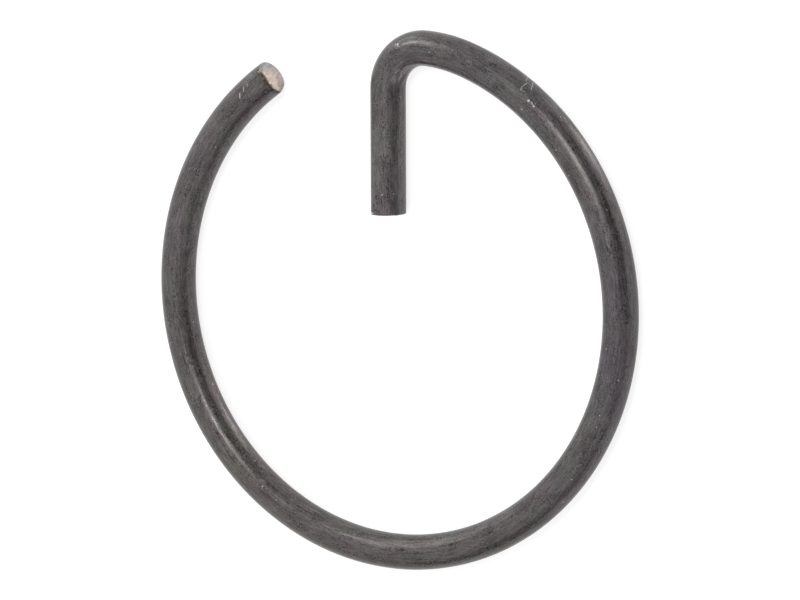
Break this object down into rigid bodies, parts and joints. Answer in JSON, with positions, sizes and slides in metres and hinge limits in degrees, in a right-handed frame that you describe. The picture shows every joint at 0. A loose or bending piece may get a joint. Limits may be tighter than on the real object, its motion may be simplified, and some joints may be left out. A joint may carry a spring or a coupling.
{
  "type": "external retaining ring",
  "caption": "Open ring of round spring wire that snaps into a shaft groove, with a square-cut end and a straight tang bent inwards to key into the shaft.",
  "frame": {"origin": "centre of the ring, halfway through the wire's thickness", "axes": "+Z along the ring's axis, out of the side that the picture shows; the tang points along -Y"},
  "size_m": [0.031, 0.0307, 0.002],
  "materials": {
    "spring_wire": "dark oiled drawn spring wire, satin, with fine draw lines along the wire"
  },
  "bodies": {
    "root": {"retaining_ring": "spring_wire"}
  },
  "joints": []
}
